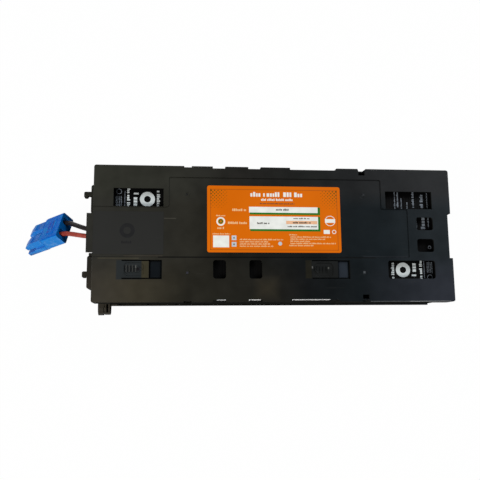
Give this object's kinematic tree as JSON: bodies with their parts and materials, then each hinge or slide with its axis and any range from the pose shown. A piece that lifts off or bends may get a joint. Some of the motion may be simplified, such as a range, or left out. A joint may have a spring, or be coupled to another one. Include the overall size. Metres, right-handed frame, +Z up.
{
  "type": "ups battery cartridge",
  "caption": "Long flat black plastic cartridge that holds sealed battery blocks wired in series, with a blue two-pole plug on short red and black leads at one end.",
  "frame": {"origin": "centre of the tray's flat underside", "axes": "+X along the cartridge, away from the plug end; +Y across it; +Z up through the cover"},
  "size_m": [0.5119, 0.1728, 0.079],
  "materials": {
    "shell_black": "moulded black ABS with a fine matt grain",
    "battery_case": "moulded dark grey ABS",
    "battery_print": "black printed film with pale print",
    "vent_cover": "moulded dark grey ABS",
    "tin_plate": "tinned brass",
    "foam_tape": "closed-cell foam tape",
    "sleeve": "natural nylon",
    "lead_red": "red cable insulation",
    "lead_black": "black cable insulation",
    "plug_blue": "blue moulded polycarbonate",
    "contact_silver": "silver plate",
    "spring_steel": "stainless spring strip",
    "label_orange": "printed film label, satin",
    "sticker_black": "plain black film, satin"
  },
  "bodies": {
    "root": {"battery_1_block": "battery_case", "battery_1_foam_strips": "foam_tape", "battery_1_label": "battery_print", "battery_1_negative_tab": "tin_plate", "battery_1_positive_tab": "tin_plate", "battery_1_vent_cover": "vent_cover", "battery_2_block": "battery_case", "battery_2_foam_strips": "foam_tape", "battery_2_label": "battery_print", "battery_2_negative_tab": "tin_plate", "battery_2_positive_tab": "tin_plate", "battery_2_vent_cover": "vent_cover", "battery_3_block": "battery_case", "battery_3_foam_strips": "foam_tape", "battery_3_label": "battery_print", "battery_3_negative_tab": "tin_plate", "battery_3_positive_tab": "tin_plate", "battery_3_vent_cover": "vent_cover", "battery_4_block": "battery_case", "battery_4_foam_strips": "foam_tape", "battery_4_label": "battery_print", "battery_4_negative_tab": "tin_plate", "battery_4_positive_tab": "tin_plate", "battery_4_vent_cover": "vent_cover", "black_lead_in_case": "lead_black", "black_lead_receptacle": "sleeve", "bottom_tray": "shell_black", "end_sticker": "sticker_black", "jumper_1_2": "lead_black", "jumper_1_2_receptacles": "sleeve", "jumper_2_3": "lead_black", "jumper_2_3_receptacles": "sleeve", "jumper_3_4": "lead_black", "jumper_3_4_receptacles": "sleeve", "lead_black": "lead_black", "lead_red": "lead_red", "plug_contact_black": "contact_silver", "plug_contact_red": "contact_silver", "plug_housing": "plug_blue", "plug_spring_black": "spring_steel", "plug_spring_red": "spring_steel", "rating_label": "label_orange", "red_lead_in_case": "lead_red", "red_lead_receptacle": "sleeve", "top_cover": "shell_black"}
  },
  "joints": []
}
